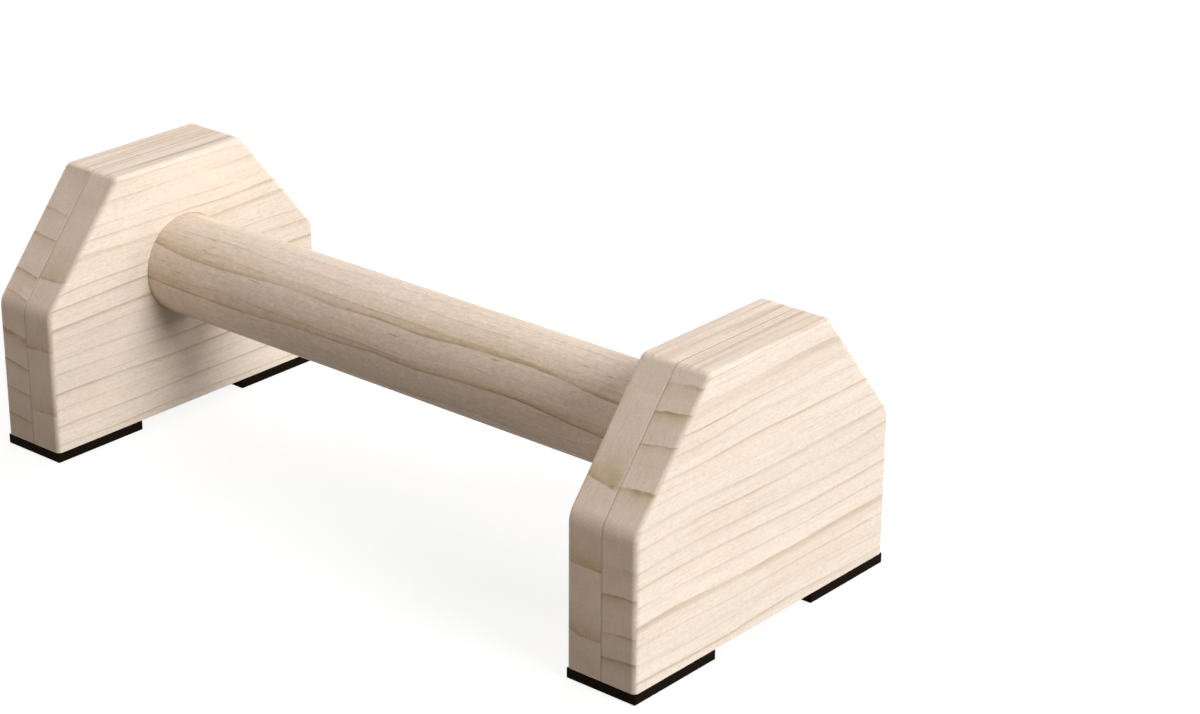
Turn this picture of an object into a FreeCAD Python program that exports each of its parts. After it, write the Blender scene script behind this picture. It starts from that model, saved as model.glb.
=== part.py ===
import FreeCAD, Part
import math
import os

# Low wooden parallette: one round grip bar held between two chamfered end blocks.
# Millimetres. +X runs along the bar, +Y across the blocks and +Z up. The origin is on the floor
# under the middle of the bar. Right is +X, left is -X, front is -Y and rear is +Y.

Vector = FreeCAD.Vector
ORIGIN = Vector(0, 0, 0)
X_AXIS = Vector(1, 0, 0)
Z_AXIS = Vector(0, 0, 1)

# Whole part
overall_length = 320.0          # between the outer faces of the two blocks

# Grip bar
grip_diameter = 40.0
grip_height = 59.5              # middle of the bar above the underside of the wood
grip_end_bevel = 0.8            # lead-in on the hidden ends
socket_depth = 9.0              # how far each end sits in its inner board
socket_clearance = 0.15         # glue film round the end, on the radius

# End blocks, each of two boards glued face to face
board_thickness = 15.0
block_width = 140.0
block_height = 103.0            # wood only, without the pads
block_side_height = 57.0        # upright part of the sides, below the chamfers
block_top_width = 65.0          # flat top, between the chamfers
side_corner_radius = 9.0        # upright side to chamfer
top_corner_radius = 3.5         # chamfer to flat top
face_edge_radius = 2.0          # round over of the two outside faces
seam_bevel = 0.2                # eased edges that meet at the glue line

# Non-slip pads and the adhesive film that holds each of them
pad_length = 43.0               # across the block
pad_thickness = 3.7
pad_corner_radius = 0.5         # upright corners, as cut
pad_edge_radius = 0.3           # worn edge round the underside
adhesive_thickness = 0.3
adhesive_inset = 1.0            # film stops short of the pad's edges

# Alignment dowels between the two boards of a block
dowel_diameter = 6.0
dowel_length = 20.0
dowel_inset = 25.0              # from the block's sides to the middles of its dowels
dowel_height = 36.0             # above the underside of the wood
dowel_bevel = 0.8
dowel_clearance = 0.05          # on the radius
dowel_end_gap = 0.5             # room for glue at each end
flute_count = 12
flute_diameter = 0.7

# Countersunk screws from the glue line into the end grain of the bar
screw_spacing = 18.0            # between the two screws of an end
screw_length = 45.0
screw_head_diameter = 8.8
screw_head_rim = 0.4            # upright rim above the head's cone
screw_shank_diameter = 3.3
screw_thread_diameter = 4.5
screw_core_diameter = 2.8
screw_thread_length = 30.0      # tip included
screw_thread_pitch = 2.2
screw_tip_length = 4.0
screw_clearance = 0.1           # on the radius, in the wood
screw_head_sink = 0.3           # head lies below the glue face
drive_slot_width = 1.1
drive_slot_length = 4.6
drive_slot_depth = 2.0

# Edges are picked by their plane to within this
pick_tolerance = 0.01
# Cuts run past the faces that they leave through by this
overrun = 1.0

# Places that follow from the sizes above
block_thickness = 2 * board_thickness
wood_bottom = pad_thickness + adhesive_thickness
wood_top = wood_bottom + block_height
outer_face_x = overall_length / 2
seam_x = outer_face_x - board_thickness
inner_face_x = outer_face_x - block_thickness
grip_end_x = inner_face_x + socket_depth
grip_axis_z = wood_bottom + grip_height


def rounded_outline(corners, radii):
    """Closed wire through the corners, each rounded by a tangent arc of its radius."""
    count = len(corners)
    starts, middles, ends = [], [], []
    for i, (corner, radius) in enumerate(zip(corners, radii)):
        to_last = (corners[i - 1] - corner).normalize()
        to_next = (corners[(i + 1) % count] - corner).normalize()
        half_angle = to_last.getAngle(to_next) / 2
        trim = radius / math.tan(half_angle)
        inward = (to_last + to_next).normalize()
        starts.append(corner + to_last * trim)
        middles.append(corner + inward * (radius / math.sin(half_angle) - radius))
        ends.append(corner + to_next * trim)
    edges = []
    for i in range(count):
        if radii[i] > 0:
            edges.append(Part.Arc(starts[i], middles[i], ends[i]).toShape())
        edges.append(Part.LineSegment(ends[i], starts[(i + 1) % count]).toShape())
    return Part.Wire(edges)


def block_outline():
    """Six-sided outline of a block at x = 0: upright sides, two chamfers and a flat top."""
    half_width = block_width / 2
    half_top = block_top_width / 2
    shoulder = wood_bottom + block_side_height
    corners = [
        Vector(0, -half_width, wood_bottom),
        Vector(0, half_width, wood_bottom),
        Vector(0, half_width, shoulder),
        Vector(0, half_top, wood_top),
        Vector(0, -half_top, wood_top),
        Vector(0, -half_width, shoulder),
    ]
    radii = [0, 0, side_corner_radius, top_corner_radius, top_corner_radius, side_corner_radius]
    return rounded_outline(corners, radii)


def rim_edges(shape, x):
    """Edges of the outline in the plane at x, without the straight one along the underside."""
    picked = []
    for edge in shape.Edges:
        box = edge.BoundBox
        in_plane = max(abs(box.XMin - x), abs(box.XMax - x)) < pick_tolerance
        on_underside = box.ZMax - wood_bottom < pick_tolerance
        if in_plane and not on_underside:
            picked.append(edge)
    return picked


def plain_board(face_x):
    """Board of the right block from the seam to face_x, rounded at that face and eased at the seam."""
    outline = block_outline()
    outline.translate(X_AXIS * seam_x)
    board = Part.Face(outline).extrude(X_AXIS * (face_x - seam_x))
    board = board.makeFillet(face_edge_radius, rim_edges(board, face_x))
    return board.makeChamfer(seam_bevel, rim_edges(board, seam_x))


def dowel_places():
    """Middle points of the right block's dowels, on the glue line."""
    reach = block_width / 2 - dowel_inset
    return [Vector(seam_x, end * reach, wood_bottom + dowel_height) for end in (-1, 1)]


def dowel_holes():
    """Blind holes for the dowels, half in each board."""
    depth = dowel_length / 2 + dowel_end_gap
    radius = dowel_diameter / 2 + dowel_clearance
    return [Part.makeCylinder(radius, 2 * depth, place - X_AXIS * depth, X_AXIS) for place in dowel_places()]


def dowel(place):
    """Fluted hardwood dowel with bevelled ends, lying along X about its place."""
    radius = dowel_diameter / 2
    start = place - X_AXIS * (dowel_length / 2)
    pin = Part.makeCylinder(radius, dowel_length, start, X_AXIS)
    rims = [edge for edge in pin.Edges if isinstance(edge.Curve, Part.Circle)]
    pin = pin.makeChamfer(dowel_bevel, rims)
    flutes = []
    for i in range(flute_count):
        turn = 2 * math.pi * i / flute_count
        offset = Vector(0, radius * math.cos(turn), radius * math.sin(turn))
        foot = start + offset - X_AXIS * overrun
        flutes.append(Part.makeCylinder(flute_diameter / 2, dowel_length + 2 * overrun, foot, X_AXIS))
    return pin.cut(flutes)


def screw_places():
    """Points on the right block's glue face where the screws of the bar go in."""
    return [Vector(seam_x, 0, grip_axis_z + end * screw_spacing / 2) for end in (-1, 1)]


def turned(profile, place):
    """Solid of revolution from (depth, radius) pairs, driven from its place towards -X."""
    points = [place + Vector(-depth, 0, radius) for depth, radius in profile]
    face = Part.Face(Part.makePolygon(points + points[:1]))
    return face.revolve(place, X_AXIS, 360)


def screw_head(bore_radius, margin):
    """Half section of a countersunk head, larger all round by margin, down to a bore's radius."""
    radius = screw_head_diameter / 2 + margin
    cone_start = screw_head_sink + screw_head_rim
    return [(cone_start, radius), (cone_start + radius - bore_radius, bore_radius)]


def screw(place):
    """Countersunk wood screw with a ringed thread, a pointed tip and a cross recess."""
    shank = screw_shank_diameter / 2
    core = screw_core_diameter / 2
    crest = screw_thread_diameter / 2
    end = screw_head_sink + screw_length
    thread_start = end - screw_thread_length
    tip_start = end - screw_tip_length
    profile = [(screw_head_sink, 0), (screw_head_sink, screw_head_diameter / 2)]
    profile += screw_head(shank, 0) + [(thread_start, shank), (thread_start, core)]
    for i in range(int((tip_start - thread_start) / screw_thread_pitch)):
        ring = thread_start + i * screw_thread_pitch
        profile += [(ring + screw_thread_pitch / 2, crest), (ring + screw_thread_pitch, core)]
    profile += [(tip_start, core), (end, 0)]
    body = turned(profile, place)
    recess_bottom = place - X_AXIS * (screw_head_sink + drive_slot_depth)
    slots = ((drive_slot_length, drive_slot_width), (drive_slot_width, drive_slot_length))
    for width_y, width_z in slots:
        corner = recess_bottom - Vector(0, width_y / 2, width_z / 2)
        body = body.cut(Part.makeBox(drive_slot_depth + overrun, width_y, width_z, corner))
    return body


def screw_hole(place):
    """Countersink, clearance hole and pilot hole for a screw, along its whole length."""
    mouth = screw_head_diameter / 2 + screw_clearance
    bore = screw_thread_diameter / 2 + screw_clearance
    end = screw_head_sink + screw_length
    profile = [(-overrun, 0), (-overrun, mouth)]
    profile += screw_head(bore, screw_clearance) + [(end, bore), (end + screw_clearance, 0)]
    return turned(profile, place)


def grip_socket():
    """Blind socket in the right inner board for the end of the bar."""
    radius = grip_diameter / 2 + socket_clearance
    mouth = Vector(inner_face_x - overrun, 0, grip_axis_z)
    return Part.makeCylinder(radius, socket_depth + overrun, mouth, X_AXIS)


def grip_bar():
    """Turned bar with bevelled ends and pilot holes in its end grain."""
    start = Vector(-grip_end_x, 0, grip_axis_z)
    bar = Part.makeCylinder(grip_diameter / 2, 2 * grip_end_x, start, X_AXIS)
    rims = [edge for edge in bar.Edges if isinstance(edge.Curve, Part.Circle)]
    bar = bar.makeChamfer(grip_end_bevel, rims)
    holes = [screw_hole(place) for place in screw_places()]
    return bar.cut(holes + [opposite(hole) for hole in holes])


def pad_box(end, inset, bottom, thickness):
    """Flat rectangle under the right block, at its front (end -1) or rear (end +1)."""
    length_y = pad_length - 2 * inset
    middle_y = end * (block_width - pad_length) / 2
    corner = Vector(inner_face_x + inset, middle_y - length_y / 2, bottom)
    return Part.makeBox(block_thickness - 2 * inset, length_y, thickness, corner)


def pad(end):
    """Rubber pad at the right block's front (end -1) or rear (end +1), rounded all round and below."""
    slab = pad_box(end, 0, 0, pad_thickness)
    upright = [edge for edge in slab.Edges if edge.BoundBox.ZLength > pad_thickness - pick_tolerance]
    slab = slab.makeFillet(pad_corner_radius, upright)
    underside = [edge for edge in slab.Edges if edge.BoundBox.ZMax < pick_tolerance]
    return slab.makeFillet(pad_edge_radius, underside)


def opposite(shape):
    """Copy of a shape turned half round the middle of the part."""
    copy = shape.copy()
    copy.rotate(ORIGIN, Z_AXIS, 180)
    return copy


def right_block():
    """Pieces of the right block by the ends of their names."""
    inner_cuts = [grip_socket()] + dowel_holes() + [screw_hole(place) for place in screw_places()]
    pieces = {
        "outer_board": plain_board(outer_face_x).cut(dowel_holes()),
        "inner_board": plain_board(inner_face_x).cut(inner_cuts),
        "board_dowels": Part.makeCompound([dowel(place) for place in dowel_places()]),
        "bar_screws": Part.makeCompound([screw(place) for place in screw_places()]),
    }
    for name, end in (("front", -1), ("rear", 1)):
        pieces[name + "_pad"] = pad(end)
        pieces[name + "_pad_adhesive"] = pad_box(end, adhesive_inset, pad_thickness, adhesive_thickness)
    return pieces


def all_nodes():
    """Every piece of the part by its name. The left block is the right one turned half round."""
    nodes = {"grip_bar": grip_bar()}
    swapped_ends = {"front": "rear", "rear": "front"}
    for ending, shape in right_block().items():
        nodes["right_" + ending] = shape
        first, rest = ending.split("_", 1)
        nodes["left_" + swapped_ends.get(first, first) + "_" + rest] = opposite(shape)
    return nodes


os.makedirs("parts", exist_ok=True)
for node, shape in all_nodes().items():
    shape.exportStep("parts/" + node + ".step")
    print(node, "solids", len(shape.Solids), "valid", shape.isValid(), "volume", round(shape.Volume, 1))
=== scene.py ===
import math
from collections import namedtuple

import bpy
from mathutils import Matrix, Vector


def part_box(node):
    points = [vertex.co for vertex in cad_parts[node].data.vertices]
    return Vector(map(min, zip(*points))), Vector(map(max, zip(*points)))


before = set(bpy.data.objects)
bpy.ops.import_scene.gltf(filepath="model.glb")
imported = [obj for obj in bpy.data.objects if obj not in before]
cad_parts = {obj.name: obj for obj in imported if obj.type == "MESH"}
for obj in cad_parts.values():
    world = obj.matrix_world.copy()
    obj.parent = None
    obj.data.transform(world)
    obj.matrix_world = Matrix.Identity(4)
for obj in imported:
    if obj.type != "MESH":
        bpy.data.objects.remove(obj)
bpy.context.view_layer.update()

scene = bpy.context.scene
scene.view_settings.view_transform = "Standard"

MM_PER_M = 1000.0

# Camera. Angles in degrees, lengths in metres, found from the corners of the blocks in the photograph.
CAMERA_AZIMUTH = 40.23            # from -Y towards +X
CAMERA_ELEVATION = 22.79
CAMERA_ROLL = 0.36
CAMERA_DISTANCE = 1.1292
CAMERA_OFFSET = (0.0651, 0.0540)  # to the right and up, square to the view
CAMERA_LENS = 89.6                # millimetres, on a sensor of SENSOR_WIDTH
SENSOR_WIDTH = 36.0

# Studio. Lengths in metres.
FLOOR_HALF_SIZE = 4.0
FLOOR_DROP = 0.0002               # floor lies this far under the pads
FLOOR_SHADE = 0.20                # part of the floor's white that takes the shadow
FLOOR_GLOW = 0.87                 # rest of its white, as the camera sees it
FLOOR_BOUNCE = 0.08               # floor's colour for the light that it throws back
WORLD_LIGHT = 0.02                # light from all round
WHITE = (1.0, 1.0, 1.0)
WARM = (1.0, 0.87, 0.76)          # light that comes back from a room's walls
SOFT_WARM = (1.0, 0.95, 0.94)     # and from its ceiling
LAMP_AIM = (0.0, 0.0, 0.05)
# Azimuth is in degrees from +X towards +Y. Strength 1 lights a surface that faces the lamp fully.
Lamp = namedtuple("Lamp", "name azimuth elevation distance size strength tint")
LAMPS = (
    Lamp("key", 0.0, 30.0, 4.0, 2.0, 0.855, WHITE),
    Lamp("front_fill", 45.0, 20.0, 4.0, 2.0, 0.27, WHITE),
    Lamp("rear_top", 100.0, 60.0, 4.0, 2.4, 0.30, SOFT_WARM),
    Lamp("back_top", 180.0, 35.0, 4.0, 2.0, 0.15, SOFT_WARM),
    Lamp("side_fill", -62.0, 9.0, 1.6, 0.5, 0.13, WARM),
    Lamp("side_low", -120.0, 5.0, 4.0, 1.0, 0.112, WARM),
    Lamp("rear_fill", 95.0, 2.0, 4.0, 0.5, 0.35, WARM),
    Lamp("back_fill", 180.0, 2.0, 4.0, 0.5, 0.45, WARM),
)


class Graph:
    """Short calls for building the node tree of one material or world."""

    def __init__(self, owner):
        owner.use_nodes = True
        self.tree = owner.node_tree
        self.tree.nodes.clear()

    def feed(self, socket, value):
        """Give an input socket a number, a colour or another node's output."""
        if isinstance(value, bpy.types.NodeSocket):
            self.tree.links.new(value, socket)
        else:
            socket.default_value = value

    def add(self, kind, inputs=None, output=0, **settings):
        """New node with its inputs and settings. Returns one of its outputs, or the node if it has none."""
        node = self.tree.nodes.new(kind)
        for name, value in settings.items():
            setattr(node, name, value)
        for name, value in (inputs or {}).items():
            self.feed(node.inputs[name], value)
        return node.outputs[output] if node.outputs else node

    def math(self, operation, a, b=0.0):
        return self.add("ShaderNodeMath", {0: a, 1: b}, operation=operation)

    def total(self, *terms):
        """Sum of any number of values."""
        result = terms[0]
        for term in terms[1:]:
            result = self.math("ADD", result, term)
        return result

    def product(self, *factors):
        """Product of any number of values."""
        result = factors[0]
        for factor in factors[1:]:
            result = self.math("MULTIPLY", result, factor)
        return result

    def left_by(self, share):
        """What is left of 1 without a share of it."""
        return self.math("SUBTRACT", 1.0, share)

    def hypot(self, a, b):
        return self.math("SQRT", self.total(self.product(a, a), self.product(b, b)))

    def remap(self, value, low, high, to_low=0.0, to_high=1.0):
        """Smooth step of a value from one range to another."""
        inputs = {"Value": value, "From Min": low, "From Max": high, "To Min": to_low, "To Max": to_high}
        return self.add("ShaderNodeMapRange", inputs, interpolation_type="SMOOTHSTEP")

    def swing(self, noise, reach):
        """Noise of 0 to 1 as a value of either sign, up to about reach."""
        return self.math("MULTIPLY", self.math("SUBTRACT", noise, 0.5), 2.0 * reach)

    def vector(self, x, y, z):
        return self.add("ShaderNodeCombineXYZ", {0: x, 1: y, 2: z})

    def split(self, vector):
        return self.add("ShaderNodeSeparateXYZ", {0: vector}).node.outputs[:]

    def place(self):
        """Place on the piece in millimetres."""
        metres = self.add("ShaderNodeTexCoord", output="Object")
        return self.add("ShaderNodeVectorMath", {0: metres, "Scale": MM_PER_M}, operation="SCALE")

    def noise(self, vector, detail=2.0, roughness=0.5):
        """Noise of 0 to 1 with features about one unit of its vector long."""
        inputs = {"Vector": vector, "Scale": 1.0, "Detail": detail, "Roughness": roughness}
        return self.add("ShaderNodeTexNoise", inputs)

    def noise_line(self, value):
        """Noise of 0 to 1 along one value."""
        inputs = {"W": value, "Scale": 1.0, "Detail": 1.0}
        return self.add("ShaderNodeTexNoise", inputs, noise_dimensions="1D")

    def dice(self, value):
        """A fixed chance number of 0 to 1 for each value."""
        return self.add("ShaderNodeTexWhiteNoise", {"W": value}, noise_dimensions="1D")

    def curve(self, value, stops):
        """Value through straight runs between (place, height) stops."""
        node = self.tree.nodes.new("ShaderNodeValToRGB")
        elements = node.color_ramp.elements
        while len(elements) < len(stops):
            elements.new(1.0)
        for element, (position, height) in zip(elements, stops):
            element.position = position
            element.color = grey(height)
        self.feed(node.inputs[0], value)
        return node.outputs[0]

    def mix(self, share, a, b, blend="MIX"):
        """Mix of two colours, which are inputs 6 and 7 and output 2 of a mix node."""
        node = self.tree.nodes.new("ShaderNodeMix")
        node.data_type = "RGBA"
        node.blend_type = blend
        for socket, value in zip((node.inputs[0], node.inputs[6], node.inputs[7]), (share, a, b)):
            self.feed(socket, value)
        return node.outputs[2]

    def shaded(self, colour, tone):
        """Colour times a tone."""
        return self.mix(1.0, colour, self.vector(tone, tone, tone), "MULTIPLY")

    def bump(self, height, distance_mm, strength):
        inputs = {"Height": height, "Distance": distance_mm / MM_PER_M, "Strength": strength}
        return self.add("ShaderNodeBump", inputs)

    def finish(self, shader, kind="ShaderNodeOutputMaterial"):
        self.add(kind, {"Surface": shader})

    def finish_surface(self, inputs):
        """End a material with the usual surface shader."""
        self.finish(self.add("ShaderNodeBsdfPrincipled", inputs))


def linear(red, green, blue):
    """Colour socket value from screen levels of 0 to 255, by the sRGB curve."""
    def level(value):
        share = value / 255.0
        return share / 12.92 if share <= 0.04045 else ((share + 0.055) / 1.055) ** 2.4
    return (level(red), level(green), level(blue), 1.0)


def grey(level):
    return (level, level, level, 1.0)


# For all materials
NOISE_SPAN = (0.2, 0.8)            # where nearly all of a noise's values lie
FINE_NOISE = (3.0, 0.6)            # detail and roughness of noise with fine parts

# Pale pine. Lengths in millimetres.
EARLYWOOD = linear(247, 232, 217)
GOLDEN_WOOD = linear(242, 224, 201)
LATEWOOD = linear(217, 197, 163)   # soft dark band before the edge of a year's growth
EDGE_WOOD = linear(189, 165, 134)  # the edge itself
DULL_TINT = linear(250, 248, 246)  # of end grain and of the turned bar, which take up more dirt
PINE_ROUGHNESS = (0.52, 0.66)
PINE_SPECULAR = 0.15
PINE_BUMP = (0.12, 0.35)           # height, and strength
EDGE_RELIEF = 0.6                  # share of the bump that the edges of the years make
FIBRE_RELIEF = 0.8                 # and that the fibres make

# How far a face turns, to the grain's direction and upwards, before it is end grain or a top
END_GRAIN_TURN = (0.45, 0.75)
TOP_TURN = (0.75, 0.95)

# Growth of the years
# Darkness across one year's growth, from its pale start to its edge
BAND_CURVE = ((0.0, 0.15), (0.02, 0.0), (0.52, 0.0), (0.80, 0.42), (0.97, 1.0), (1.0, 0.5))
EDGE_WIDTH = 1.3
EDGE_CORE_SHARE = 0.3              # last part of that width, at full strength
YEAR_TREND = 0.6                   # how fast the widths of the years change from one to the next
RING_STRENGTHS = (0.1, 1.1)        # of the weakest and the strongest year, in the rings
LINE_STRENGTHS = (0.22, 0.82)      # and in the lines on the faces
LINE_UNEVENNESS = 0.5              # of the spaces between those lines
END_BANDS = 1.1                    # how much the rings' soft bands show on end grain
END_EDGES = 0.7                    # and their edges

# Noise drawn out along the grain: the length and width of its features, the shift that sets it apart from
# the others, its detail and its roughness.
Streaks = namedtuple("Streaks", "length width shift detail roughness", defaults=(2.0, 0.5))
SLOW_WAVES = Streaks(75.0, 40.0, 0.0, 1.0)
FAST_WAVES = Streaks(28.0, 7.0, 2.0)
RIPPLES = Streaks(20.0, 3.5, 37.0, 1.0)
RING_FADE = Streaks(80.0, 12.0, 13.0)
RING_BREAKS = Streaks(30.0, 3.0, 35.0)
LINE_FADE = Streaks(60.0, 9.0, 15.0)
DASHES = Streaks(16.0, 0.7, 25.0, 1.0)
FLECKS = Streaks(9.0, 0.9, 41.0, 0.0)
GOLDEN_STREAKS = Streaks(90.0, 7.0, 21.0)
TOP_STREAKS = Streaks(120.0, 3.2, 33.0, *FINE_NOISE)
BROAD_STREAKS = Streaks(160.0, 12.0, 19.0)
FIBRES = Streaks(22.0, 0.6, 17.0, *FINE_NOISE)
SPECKLES = Streaks(1.6, 0.7, 27.0, 1.0)
BLOTCHES = Streaks(3.0, 1.6, 29.0, 3.0, 0.75)
# Rays of end grain, drawn out up and down
RAY_DEPTH = 5.0
RAY_WIDTH = 0.8
RAY_LENGTH = 7.0
RAY_SHIFT = 0.0

# Smooth steps that some of these go through: the noise's values at both ends, and the strengths there where
# these are the same on every piece
RING_FADE_STEP = (0.25, 0.75, 0.35, 1.15)
RING_BREAKS_STEP = (0.35, 0.60, 0.35, 1.1)
LINE_FADE_STEP = (0.30, 0.65, 0.3, 1.1)
DASHES_STEP = (0.65, 0.78, 0.0, 0.25)
FLECKS_STEP = (0.80, 0.86)
GOLDEN_STEP = (0.45, 0.75)
TOP_BAND_STEP = (0.45, 0.70, 0.0, 0.30)

# Waves: their reach, and further shifts for the rings' two directions and for the lines on the faces
FAST_WAVE_REACH = 0.5
RIPPLE_REACH = 0.3
RING_SIDE_SHIFT = 1.0
RING_RISE_SHIFT = 5.0
LINE_SHIFT = 9.0

# Tones that the kinds of noise add, either way
FIBRE_TONE = 0.13
SPECKLE_TONE = 0.13
RAY_TONE = 0.10
TOP_STREAK_TONE = 0.28
BROAD_TONE = 0.08
FINE_END_SHARE = 0.75              # part of the fibre and speckle tones that end grain keeps

# Painted shade on the wood, as a share of its light, and how far it reaches
PAINTED_FOOT_SHADE = 0.18                  # painted shade on the end grain, darkest at the floor
PAINTED_FOOT_SHADE_REACH = 36.0
PAINTED_SOCKET_SHADE = 0.12                # painted shade in the corner between bar and board
PAINTED_SOCKET_SHADE_REACH = 20.0
PAINTED_SEAM_SHADE = 0.50                  # painted shade along the +X side of the glue line of a block
PAINTED_SEAM_SHADE_REACH = 0.5
SEAM_END_SHARE = 0.5               # part of it that end grain takes
PAINTED_EDGE_SHADE = 0.08                  # painted shade on the boards' rounded edges, against their highlight

# How a piece lies in its log, seen from the piece's middle: the heart line (across the grain, up), the height
# of one ring's edge, the mean width of the rings, how uneven they are and how much they show on the faces.
# Then the lines on the faces: their mean spacing, their strength and the lean of their layers across the
# grain. Then the reach of the slow waves in all of these, how golden, blotchy and flecked the wood is, the
# number that its years' strengths are drawn from, and the seed of its noise.
Log = namedtuple(
    "Log",
    "heart ring_edge ring_width unevenness face_rings line_spacing line_strength lean wander golden blotches "
    "flecks years seed",
)


def outer_log(side, years, seed):
    """Log of an outer board, on the right (side 1) or the left (side -1)."""
    return Log(
        heart=(22.0 * side, -260.0), ring_edge=-6.2, ring_width=11.5, unevenness=0.75, face_rings=0.08,
        line_spacing=7.0, line_strength=0.5, lean=-1.1 * side, wander=3.0, golden=0.6, blotches=0.03,
        flecks=0.0, years=years, seed=seed,
    )


def inner_log(side, years, seed):
    """Log of an inner board, on the right (side 1) or the left (side -1)."""
    return Log(
        heart=(6.0 * side, 210.0), ring_edge=-11.2, ring_width=26.8, unevenness=0.10, face_rings=0.05,
        line_spacing=7.0, line_strength=0.75, lean=1.1 * side, wander=3.0, golden=0.6, blotches=0.03,
        flecks=0.0, years=years, seed=seed,
    )


BOARD_LOGS = {
    "right_outer_board": outer_log(1, 12.0, 11.0),
    "right_inner_board": inner_log(1, 192.0, 192.0),
    "left_outer_board": outer_log(-1, 1321.0, 1321.0),
    "left_inner_board": inner_log(-1, 375.0, 375.0),
}
BAR_LOG = Log(
    heart=(-9.0, 60.0), ring_edge=12.5, ring_width=13.0, unevenness=0.30, face_rings=0.72,
    line_spacing=10.0, line_strength=0.3, lean=1.1, wander=5.0, golden=0.6, blotches=0.24,
    flecks=0.7, years=287.0, seed=2101.0,
)


class PineGraph(Graph):
    """Node tree of a piece of pine, in the directions of its log.

    The grain runs along the axis that grain names, "X" or "Y". Only a board (is_board 1.0, not 0.0) shows
    end grain, a top and painted shade on its rounded edges.
    """

    def __init__(self, owner, grain, middle, log, is_board):
        super().__init__(owner)
        self.log = log
        from_middle = self.add("ShaderNodeVectorMath", {0: self.place(), 1: middle}, operation="SUBTRACT")
        x, y, self.up = self.split(from_middle)
        self.along, self.across = (x, y) if grain == "X" else (y, x)
        self.top_streaks = self.streaks(TOP_STREAKS)

        normal_x, normal_y, normal_z = self.split(self.add("ShaderNodeNewGeometry", output="Normal"))
        endwise = self.math("ABSOLUTE", normal_x if grain == "X" else normal_y)
        self.end_grain = self.product(self.remap(endwise, *END_GRAIN_TURN), is_board)
        self.face_grain = self.left_by(self.end_grain)
        self.on_top = self.product(self.remap(normal_z, *TOP_TURN), is_board)
        # 1 in the middle of the rounds along a board's large faces and 0 on its flats. The product of the
        # two shares is at most a quarter.
        facing = self.product(normal_x, normal_x)
        self.rounded = self.product(facing, self.left_by(facing), 4.0 * is_board)

    def less_on_ends(self, share):
        """1 along the grain, and a share of it on end grain."""
        return self.remap(self.end_grain, 0.0, 1.0, 1.0, share)

    def drawn_out(self, along, across, up, shift, detail, roughness):
        """Noise with features of these lengths along and across the grain and up."""
        where = self.vector(
            self.math("DIVIDE", self.along, along),
            self.math("ADD", self.math("DIVIDE", self.across, across), self.log.seed + shift),
            self.math("DIVIDE", self.up, up),
        )
        return self.noise(where, detail, roughness)

    def streaks(self, kind, shift=0.0):
        """Noise of one of the kinds above, shifted further where it is used more than once."""
        return self.drawn_out(
            kind.length, kind.width, kind.width, kind.shift + shift, kind.detail, kind.roughness)

    def rays(self):
        """Noise drawn out up and down, as rays are on end grain."""
        return self.drawn_out(RAY_DEPTH, RAY_WIDTH, RAY_LENGTH, RAY_SHIFT, *FINE_NOISE)

    def waves(self, shift):
        """Slow and fast waves along the grain, in millimetres."""
        slow = self.swing(self.streaks(SLOW_WAVES, shift), self.log.wander)
        return self.total(slow, self.swing(self.streaks(FAST_WAVES, shift), FAST_WAVE_REACH))

    def growth(self, depth, spacing, unevenness, strengths):
        """Soft bands and sharp edges at about every spacing, each year with its own width and strength."""
        steps = self.math("DIVIDE", depth, spacing)
        shift = self.noise_line(self.math("ADD", self.product(steps, YEAR_TREND), self.log.seed))
        age = self.math("ADD", steps, self.swing(shift, unevenness))
        chance = self.dice(self.math("ADD", self.math("FLOOR", age), self.log.years))
        strength = self.remap(chance, 0.0, 1.0, *strengths)
        season = self.math("FRACT", age)
        before_edge = self.product(self.left_by(season), spacing)
        edge = self.remap(before_edge, EDGE_CORE_SHARE * EDGE_WIDTH, EDGE_WIDTH, 1.0, 0.0)
        return self.product(self.curve(season, BAND_CURVE), strength), self.product(edge, strength)

    def rings(self):
        """Bands and edges of the years' rings about the heart."""
        heart_side, heart_up = self.log.heart
        ripple = self.swing(self.streaks(RIPPLES), RIPPLE_REACH)
        side = self.total(self.across, -heart_side, self.waves(RING_SIDE_SHIFT))
        rise = self.total(self.up, -heart_up, self.waves(RING_RISE_SHIFT), ripple)
        edge_radius = math.hypot(heart_side, self.log.ring_edge - heart_up)
        depth = self.math("SUBTRACT", self.hypot(side, rise), edge_radius)
        band, edge = self.growth(depth, self.log.ring_width, self.log.unevenness, RING_STRENGTHS)
        fade = self.remap(self.streaks(RING_FADE), *RING_FADE_STEP)
        breaks = self.remap(self.streaks(RING_BREAKS), *RING_BREAKS_STEP)
        return self.product(band, fade), self.product(edge, fade, breaks)

    def face_lines(self):
        """Bands and edges of the lines that the faces show, where rings are cut at a low angle."""
        lean = self.product(self.across, self.log.lean)
        depth = self.total(self.up, lean, self.waves(LINE_SHIFT))
        band, edge = self.growth(depth, self.log.line_spacing, LINE_UNEVENNESS, LINE_STRENGTHS)
        fade = self.remap(self.streaks(LINE_FADE), *LINE_FADE_STEP)
        strength = self.product(fade, self.log.line_strength)
        dashes = self.remap(self.streaks(DASHES), *DASHES_STEP)
        flecks = self.remap(self.streaks(FLECKS), *FLECKS_STEP, 0.0, self.log.flecks)
        return self.product(band, strength), self.total(self.product(edge, strength), dashes, flecks)

    def figure(self):
        """Amounts of 0 to 1 of the soft bands and of the edges, from rings, lines and streaks together."""
        top_bands = self.product(self.remap(self.top_streaks, *TOP_BAND_STEP), self.on_top)
        face_rings = self.product(self.face_grain, self.log.face_rings)
        amounts = []
        parts = zip(self.rings(), (END_BANDS, END_EDGES), self.face_lines(), (top_bands, 0.0))
        for ring, end_strength, line, streak in parts:
            ring_share = self.total(self.product(self.end_grain, end_strength), face_rings)
            amount = self.total(self.product(ring, ring_share), self.product(line, self.face_grain), streak)
            amounts.append(self.math("MINIMUM", amount, 1.0))
        return amounts

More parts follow.
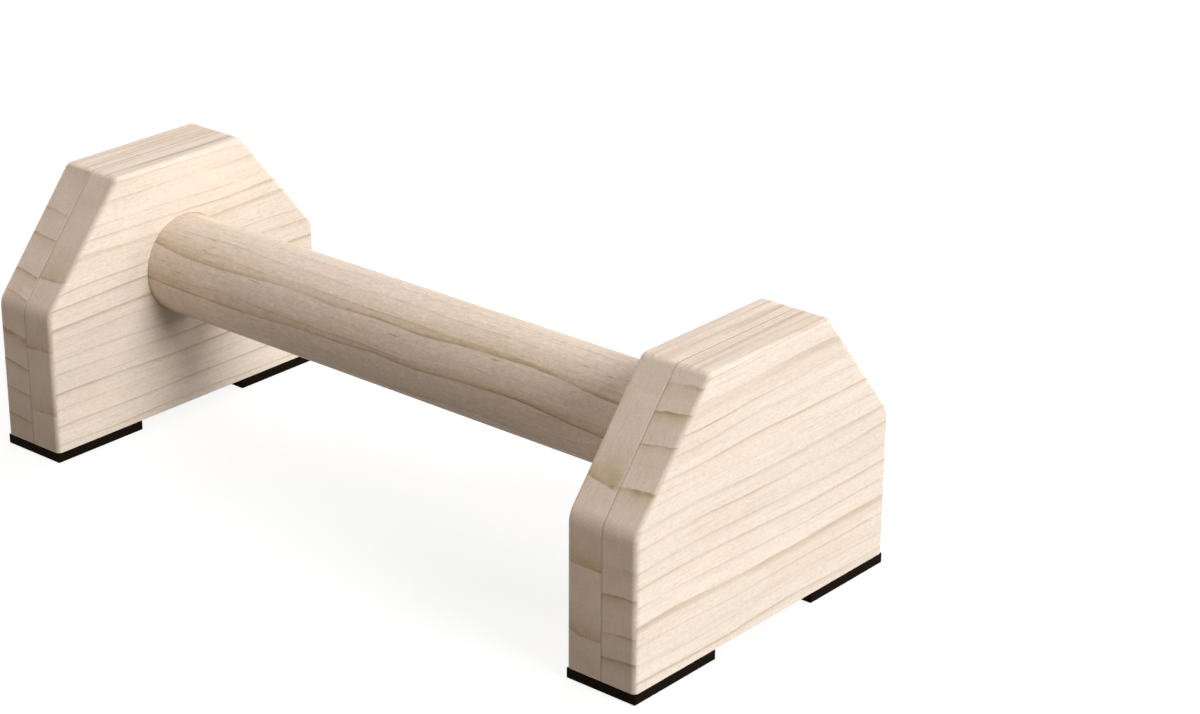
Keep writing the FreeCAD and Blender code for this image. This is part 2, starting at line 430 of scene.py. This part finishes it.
    def wood(self, band, edge):
        """Colour of the clean wood."""
        golden = self.remap(self.streaks(GOLDEN_STREAKS), *GOLDEN_STEP, 0.0, self.log.golden)
        colour = self.mix(golden, EARLYWOOD, GOLDEN_WOOD)
        colour = self.mix(band, colour, LATEWOOD)
        return self.mix(edge, colour, EDGE_WOOD)

    def tone(self, fibre):
        """Fine and broad differences in the wood's tone, about 1."""
        fine = self.total(self.swing(fibre, FIBRE_TONE), self.swing(self.streaks(SPECKLES), SPECKLE_TONE))
        return self.total(
            1.0,
            self.product(fine, self.less_on_ends(FINE_END_SHARE)),
            self.product(self.swing(self.rays(), RAY_TONE), self.end_grain),
            self.product(self.swing(self.top_streaks, -TOP_STREAK_TONE), self.on_top),
            self.swing(self.streaks(BLOTCHES), self.log.blotches),
            self.swing(self.streaks(BROAD_STREAKS), BROAD_TONE),
        )

    def painted_foot_shade(self):
        """Painted shade on end grain, darker towards the floor."""
        height = self.split(self.place())[2]
        return self.product(self.remap(height, 0.0, PAINTED_FOOT_SHADE_REACH, PAINTED_FOOT_SHADE, 0.0), self.end_grain)

    def painted_seam_shade(self):
        """Painted shade along the +X side of the glue line between the two boards of each block."""
        x = self.split(self.place())[0]
        painted_shades = []
        for board in ("right_outer_board", "left_inner_board"):
            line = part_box(board)[0].x * MM_PER_M + PAINTED_SEAM_SHADE_REACH
            distance = self.math("ABSOLUTE", self.math("SUBTRACT", x, line))
            painted_shades.append(self.remap(distance, 0.0, PAINTED_SEAM_SHADE_REACH, PAINTED_SEAM_SHADE, 0.0))
        return self.product(self.total(*painted_shades), self.less_on_ends(SEAM_END_SHARE))

    def painted_socket_shade(self):
        """Painted shade near the corners where the bar goes into the boards."""
        x, y, z = self.split(self.place())
        low, high = (corner * MM_PER_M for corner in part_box("grip_bar"))
        board_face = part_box("right_inner_board")[0].x * MM_PER_M
        from_axis = self.hypot(y, self.math("SUBTRACT", z, (low.z + high.z) / 2))
        off_bar = self.math("SUBTRACT", from_axis, (high.z - low.z) / 2)
        off_board = self.math("SUBTRACT", self.math("ABSOLUTE", x), board_face)
        return self.remap(self.hypot(off_bar, off_board), 0.0, PAINTED_SOCKET_SHADE_REACH, PAINTED_SOCKET_SHADE, 0.0)

    def painted_shade_factor(self):
        """Share of the light that all the painted shade leaves."""
        painted_edge_shade = self.product(self.rounded, PAINTED_EDGE_SHADE)
        painted_shades = (self.painted_foot_shade(), painted_edge_shade, self.painted_socket_shade(), self.painted_seam_shade())
        return self.product(*(self.left_by(painted_shade) for painted_shade in painted_shades))


def pine(name, grain, middle, log, is_board):
    """Pale pine as a solid, with its rings about a heart line along the grain."""
    material = bpy.data.materials.new(name)
    g = PineGraph(material, grain, middle, log, is_board)
    band, edge = g.figure()
    fibre = g.streaks(FIBRES)
    # Base colour darkened by painted shade: at the floor, by the bar's sockets, beside the seams and on the
    # rounded edges
    colour = g.shaded(g.wood(band, edge), g.product(g.tone(fibre), g.painted_shade_factor()))
    dull = g.math("MAXIMUM", g.end_grain, 1.0 - is_board)
    relief = g.total(g.product(edge, EDGE_RELIEF), g.product(fibre, FIBRE_RELIEF))
    g.finish_surface({
        "Base Color": g.mix(dull, colour, g.mix(1.0, colour, DULL_TINT, "MULTIPLY")),
        "Roughness": g.remap(fibre, *NOISE_SPAN, *PINE_ROUGHNESS),
        "Specular IOR Level": PINE_SPECULAR,
        "Normal": g.bump(relief, *PINE_BUMP),
    })
    return material


# Rubber of the pads
RUBBER_BLACK = linear(23, 17, 9)
RUBBER_TONES = (0.6, 1.4)
RUBBER_ROUGHNESS = (0.82, 0.95)
RUBBER_SPECULAR = 0.04
GRIT_PER_MM = 2.2
GRIT_BUMP = (0.2, 0.5)             # height in millimetres, and strength


def rubber():
    """Matt black pad with a fine moulded grit."""
    material = bpy.data.materials.new("pad_rubber")
    g = Graph(material)
    finer = g.add("ShaderNodeVectorMath", {0: g.place(), "Scale": GRIT_PER_MM}, operation="SCALE")
    grit = g.noise(finer, *FINE_NOISE)
    g.finish_surface({
        "Base Color": g.shaded(RUBBER_BLACK, g.remap(grit, *NOISE_SPAN, *RUBBER_TONES)),
        "Roughness": g.remap(grit, *NOISE_SPAN, *RUBBER_ROUGHNESS),
        "Specular IOR Level": RUBBER_SPECULAR,
        "Normal": g.bump(grit, *GRIT_BUMP),
    })
    return material


# Adhesive film under the blocks
FILM_COLOURS = (linear(206, 203, 194), linear(226, 224, 218))
FILM_ROUGHNESS = (0.30, 0.45)


def adhesive():
    """Milky double-sided film, a little cloudy."""
    material = bpy.data.materials.new("pad_adhesive")
    g = Graph(material)
    cloud = g.noise(g.place())
    g.finish_surface({
        "Base Color": g.mix(cloud, *FILM_COLOURS),
        "Roughness": g.remap(cloud, *NOISE_SPAN, *FILM_ROUGHNESS),
    })
    return material


# Beech of the dowels, which lie along X. Lengths in millimetres.
BEECH_COLOURS = (linear(214, 178, 142), linear(178, 134, 98))
BEECH_ROUGHNESS = (0.55, 0.70)
BEECH_BUMP = (0.1, 0.4)            # height, and strength
BEECH_FLECK_STEP = (0.35, 0.75)
BEECH_FLECK_LENGTH = 6.0
BEECH_FLECK_WIDTH = 0.4


def beech():
    """Pinkish dowel wood with short dark flecks along X."""
    material = bpy.data.materials.new("dowel_wood")
    g = Graph(material)
    sizes = (BEECH_FLECK_LENGTH, BEECH_FLECK_WIDTH, BEECH_FLECK_WIDTH)
    where = g.vector(*(g.math("DIVIDE", part, size) for part, size in zip(g.split(g.place()), sizes)))
    fibre = g.noise(where, *FINE_NOISE)
    g.finish_surface({
        "Base Color": g.mix(g.remap(fibre, *BEECH_FLECK_STEP), *BEECH_COLOURS),
        "Roughness": g.remap(fibre, *NOISE_SPAN, *BEECH_ROUGHNESS),
        "Normal": g.bump(fibre, *BEECH_BUMP),
    })
    return material


# Zinc-plated steel of the screws
ZINC_COLOURS = (linear(188, 184, 172), linear(214, 210, 198))
ZINC_ROUGHNESS = (0.26, 0.42)


def plated_steel():
    """Zinc-plated screw, faintly mottled."""
    material = bpy.data.materials.new("screw_steel")
    g = Graph(material)
    mottle = g.noise(g.place(), *FINE_NOISE)
    g.finish_surface({
        "Base Color": g.mix(mottle, *ZINC_COLOURS),
        "Metallic": 1.0,
        "Roughness": g.remap(mottle, *NOISE_SPAN, *ZINC_ROUGHNESS),
    })
    return material


def dress(node, material):
    """Give a node one material."""
    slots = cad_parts[node].data.materials
    slots.clear()
    slots.append(material)


def middle_of(node):
    """Middle of a node's box in millimetres."""
    low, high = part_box(node)
    return (low + high) / 2 * MM_PER_M


def dress_all():
    """Every node's own finish."""
    for node, log in BOARD_LOGS.items():
        dress(node, pine("pine_" + node, "Y", middle_of(node), log, 1.0))
    dress("grip_bar", pine("pine_grip_bar", "X", middle_of("grip_bar"), BAR_LOG, 0.0))
    finishes = {"_pad": rubber(), "_adhesive": adhesive(), "_dowels": beech(), "_screws": plated_steel()}
    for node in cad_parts:
        for ending, material in finishes.items():
            if node.endswith(ending):
                dress(node, material)


def seen_directly(g):
    """1 for rays from the camera, from gloss and through glass, 0 for the light that falls on things."""
    path = g.add("ShaderNodeLightPath").node.outputs
    total = g.total(path["Is Camera Ray"], path["Is Glossy Ray"], path["Is Transmission Ray"])
    return g.math("MINIMUM", total, 1.0)


def add_floor():
    """White floor that keeps the shadow and looks white to the camera and in reflections."""
    corner_signs = ((-1, -1), (1, -1), (1, 1), (-1, 1))
    corners = [(x * FLOOR_HALF_SIZE, y * FLOOR_HALF_SIZE, -FLOOR_DROP) for x, y in corner_signs]
    mesh = bpy.data.meshes.new("floor")
    mesh.from_pydata(corners, [], [(0, 1, 2, 3)])
    floor = bpy.data.objects.new("floor", mesh)
    scene.collection.objects.link(floor)
    material = bpy.data.materials.new("floor_white")
    g = Graph(material)
    shade = g.add("ShaderNodeBsdfDiffuse", {"Color": grey(FLOOR_SHADE)})
    glow = g.add("ShaderNodeEmission", {"Strength": FLOOR_GLOW})
    bounce = g.add("ShaderNodeBsdfDiffuse", {"Color": grey(FLOOR_BOUNCE)})
    seen = g.add("ShaderNodeAddShader", {0: shade, 1: glow})
    g.finish(g.add("ShaderNodeMixShader", {0: seen_directly(g), 1: bounce, 2: seen}))
    mesh.materials.append(material)


def light_world():
    """White to the camera, and a soft light from all round on the object."""
    scene.world = bpy.data.worlds.new("studio")
    g = Graph(scene.world)
    light = tuple(WORLD_LIGHT * part for part in WARM) + (1.0,)
    colour = g.mix(seen_directly(g), light, grey(1.0))
    g.finish(g.add("ShaderNodeBackground", {"Color": colour}), "ShaderNodeOutputWorld")


def add_lamps():
    """Round lamps that face the object, with power for their strength at their distance."""
    for lamp in LAMPS:
        data = bpy.data.lights.new(lamp.name, "AREA")
        data.shape = "DISK"
        data.size = lamp.size
        data.color = lamp.tint
        data.energy = lamp.strength * math.pi ** 2 * lamp.distance ** 2
        azimuth, elevation = math.radians(lamp.azimuth), math.radians(lamp.elevation)
        away = Vector((math.cos(azimuth), math.sin(azimuth), math.tan(elevation))).normalized()
        holder = bpy.data.objects.new(lamp.name, data)
        holder.location = Vector(LAMP_AIM) + away * lamp.distance
        holder.rotation_euler = away.to_track_quat("Z", "Y").to_euler()
        scene.collection.objects.link(holder)


def add_camera():
    """Camera that looks past the origin, by the values at the top."""
    azimuth, elevation, roll = map(math.radians, (CAMERA_AZIMUTH, CAMERA_ELEVATION, CAMERA_ROLL))
    level_back = Vector((math.sin(azimuth), -math.cos(azimuth), 0.0))
    back = level_back * math.cos(elevation) + Vector((0.0, 0.0, math.sin(elevation)))
    level = Vector((math.cos(azimuth), math.sin(azimuth), 0.0))
    right = level * math.cos(roll) + back.cross(level) * math.sin(roll)
    up = back.cross(right)
    data = bpy.data.cameras.new("camera")
    data.lens = CAMERA_LENS
    data.sensor_width = SENSOR_WIDTH
    camera = bpy.data.objects.new("camera", data)
    pose = Matrix((right, up, back)).transposed().to_4x4()
    pose.translation = back * CAMERA_DISTANCE + right * CAMERA_OFFSET[0] + up * CAMERA_OFFSET[1]
    camera.matrix_world = pose
    scene.collection.objects.link(camera)
    scene.camera = camera


dress_all()
add_floor()
light_world()
add_lamps()
add_camera()
